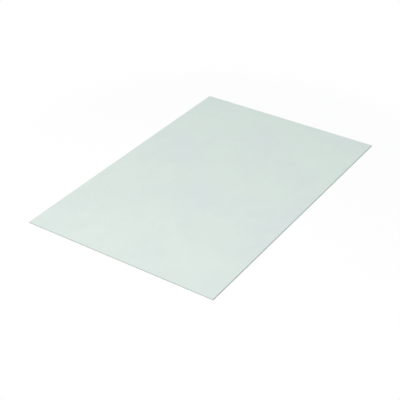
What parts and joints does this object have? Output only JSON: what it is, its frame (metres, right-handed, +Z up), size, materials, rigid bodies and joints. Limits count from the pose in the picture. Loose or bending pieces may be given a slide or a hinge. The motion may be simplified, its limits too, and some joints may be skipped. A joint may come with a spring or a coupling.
{
  "type": "drywall sheet",
  "caption": "Thin flat rectangular drywall sheet of gypsum bound in pale paper, with small rounded folds along the long edges and square-cut ends, for lining walls and ceilings.",
  "frame": {"origin": "centre of the back, which lies on the floor", "axes": "+X across the sheet to a bound long edge, +Y along the sheet to a cut end, +Z up out of the face"},
  "size_m": [1.22, 1.83, 0.0065],
  "materials": {
    "board_paper": "matte"
  },
  "bodies": {
    "root": {"drywall_sheet": "board_paper"}
  },
  "joints": []
}
